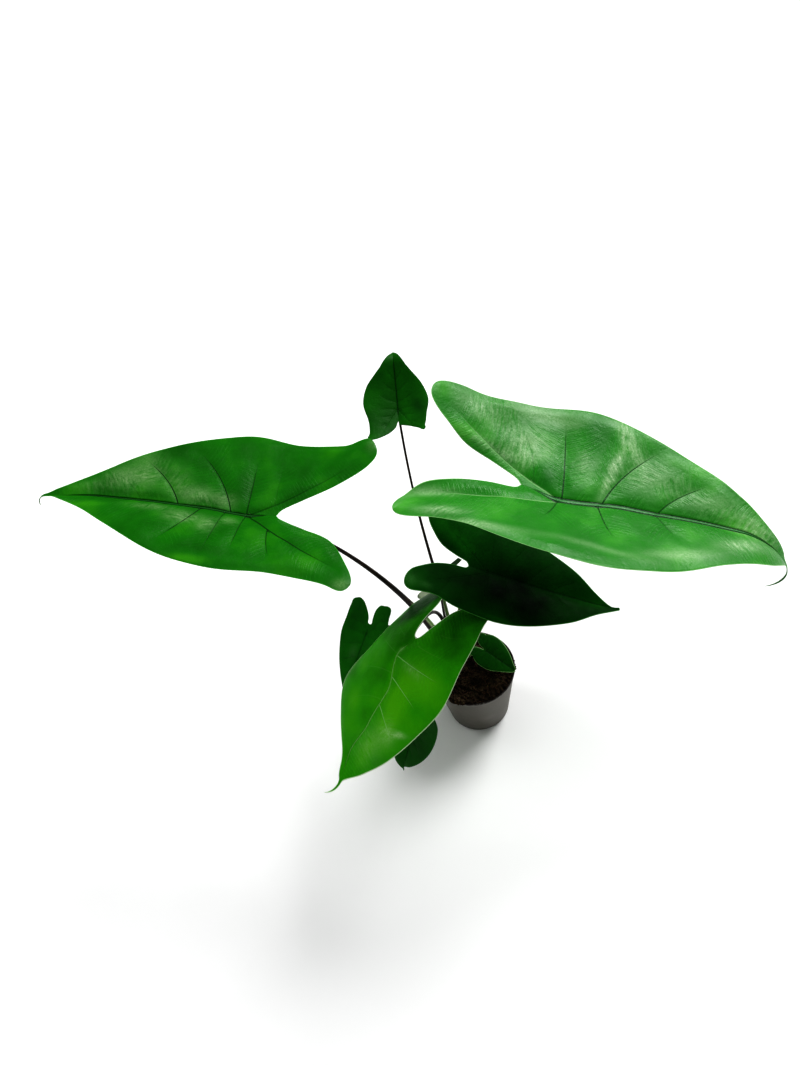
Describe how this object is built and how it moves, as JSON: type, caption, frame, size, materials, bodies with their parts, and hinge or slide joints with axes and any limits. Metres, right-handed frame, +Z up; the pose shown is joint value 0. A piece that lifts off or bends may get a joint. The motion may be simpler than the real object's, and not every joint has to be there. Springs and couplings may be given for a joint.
{
  "type": "potted black stem zebra alocasia",
  "caption": "Potted aroid house plant: arrow-shaped green blades on slim dark petioles rising from one crown in a small tapered nursery pot filled with soil.",
  "frame": {"origin": "middle of the pot's flat underside, on the surface that the pot stands on", "axes": "+Z up along the pot's axis; +Y away from the side that the front leaf hangs toward; +X toward the largest, right-hand blade"},
  "size_m": [0.8388, 0.4811, 0.5418],
  "materials": {
    "pot_plastic": "matte dark grey",
    "soil": "fibrous potting soil",
    "corm": "rough corm and roots",
    "petiole": "smooth near-black petiole",
    "leaf_green": "satin leaf",
    "leaf_bright": "glossy leaf",
    "leaf_dark": "satin leaf",
    "leaf_shade": "satin leaf",
    "leaf_yellow_green": "satin leaf",
    "leaf_young": "soft young leaf"
  },
  "bodies": {
    "root": {"pot": "pot_plastic", "soil": "soil", "corm_and_roots": "corm", "petiole_left": "petiole", "blade_left": "leaf_green", "petiole_right": "petiole", "blade_right": "leaf_bright", "petiole_back": "petiole", "blade_back": "leaf_dark", "petiole_middle": "petiole", "blade_middle": "leaf_shade", "petiole_front": "petiole", "blade_front": "leaf_yellow_green", "petiole_front_left": "petiole", "blade_front_left": "leaf_dark", "petiole_low": "petiole", "blade_low": "leaf_dark", "petiole_basal": "petiole", "blade_basal": "leaf_dark", "petiole_young": "petiole", "blade_young": "leaf_young"}
  },
  "joints": []
}
